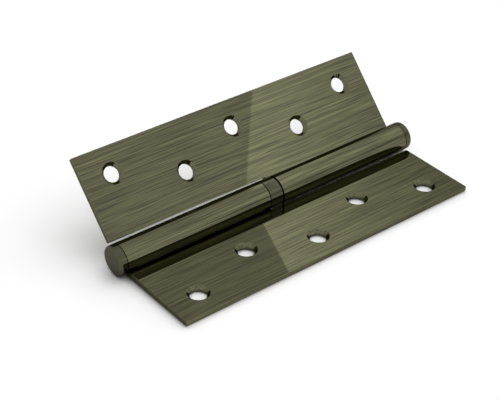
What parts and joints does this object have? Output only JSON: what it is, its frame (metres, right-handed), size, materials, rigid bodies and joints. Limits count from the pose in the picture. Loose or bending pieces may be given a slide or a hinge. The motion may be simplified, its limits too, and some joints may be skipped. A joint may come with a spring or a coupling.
{
  "type": "lift-off hinge",
  "caption": "Lift-off hinge with flat rolled leaves, zigzag countersunk screw holes, a ball-bearing collar between the knuckles and capped ends.",
  "frame": {"origin": "the middle of the fixed leaf's flat mounting face", "axes": "+X along the pin towards the side that lifts off, +Z out of the fixed leaf's screw face; the pin lies towards +Y"},
  "size_m": [0.1308, 0.0655, 0.0304],
  "materials": {
    "brushed_bronze": "antique bronze, brushed along the pin",
    "plain_bronze": "antique bronze, smooth satin",
    "bright_steel": "ground steel",
    "blackened_steel": "blackened hardened steel",
    "polished_steel": "polished hardened steel",
    "cage_brass": "stamped sheet brass"
  },
  "bodies": {
    "fixed_side": {"fixed_leaf": "brushed_bronze", "hinge_pin": "bright_steel", "fixed_end_cap": "plain_bronze", "bearing_collar": "plain_bronze", "fixed_race": "blackened_steel"},
    "turning_washer": {"turning_race": "blackened_steel"},
    "lift_off_side": {"lift_off_leaf": "brushed_bronze", "lift_off_end_cap": "plain_bronze"},
    "ball_ring": {"ball_cage": "cage_brass", "ball_1": "polished_steel", "ball_2": "polished_steel", "ball_3": "polished_steel", "ball_4": "polished_steel", "ball_5": "polished_steel", "ball_6": "polished_steel"}
  },
  "joints": [
    {"name": "swing", "type": "hinge", "parent": "fixed_side", "child": "turning_washer", "pos_m": [0, 0.02138, 0.0044], "axis": [-1, 0, 0], "range_deg": [-134, 136]},
    {"name": "lift_off", "type": "slide", "parent": "turning_washer", "child": "lift_off_side", "axis": [1, 0, 0], "range_m": [0, 0.06]},
    {"name": "ball_roll", "type": "hinge", "parent": "fixed_side", "child": "ball_ring", "pos_m": [0, 0.02138, 0.0044], "axis": [-1, 0, 0], "range_deg": [-67, 68]}
  ],
  "couplings": [
    {"joint": "ball_roll", "follows": "swing", "ratio": 0.5}
  ]
}
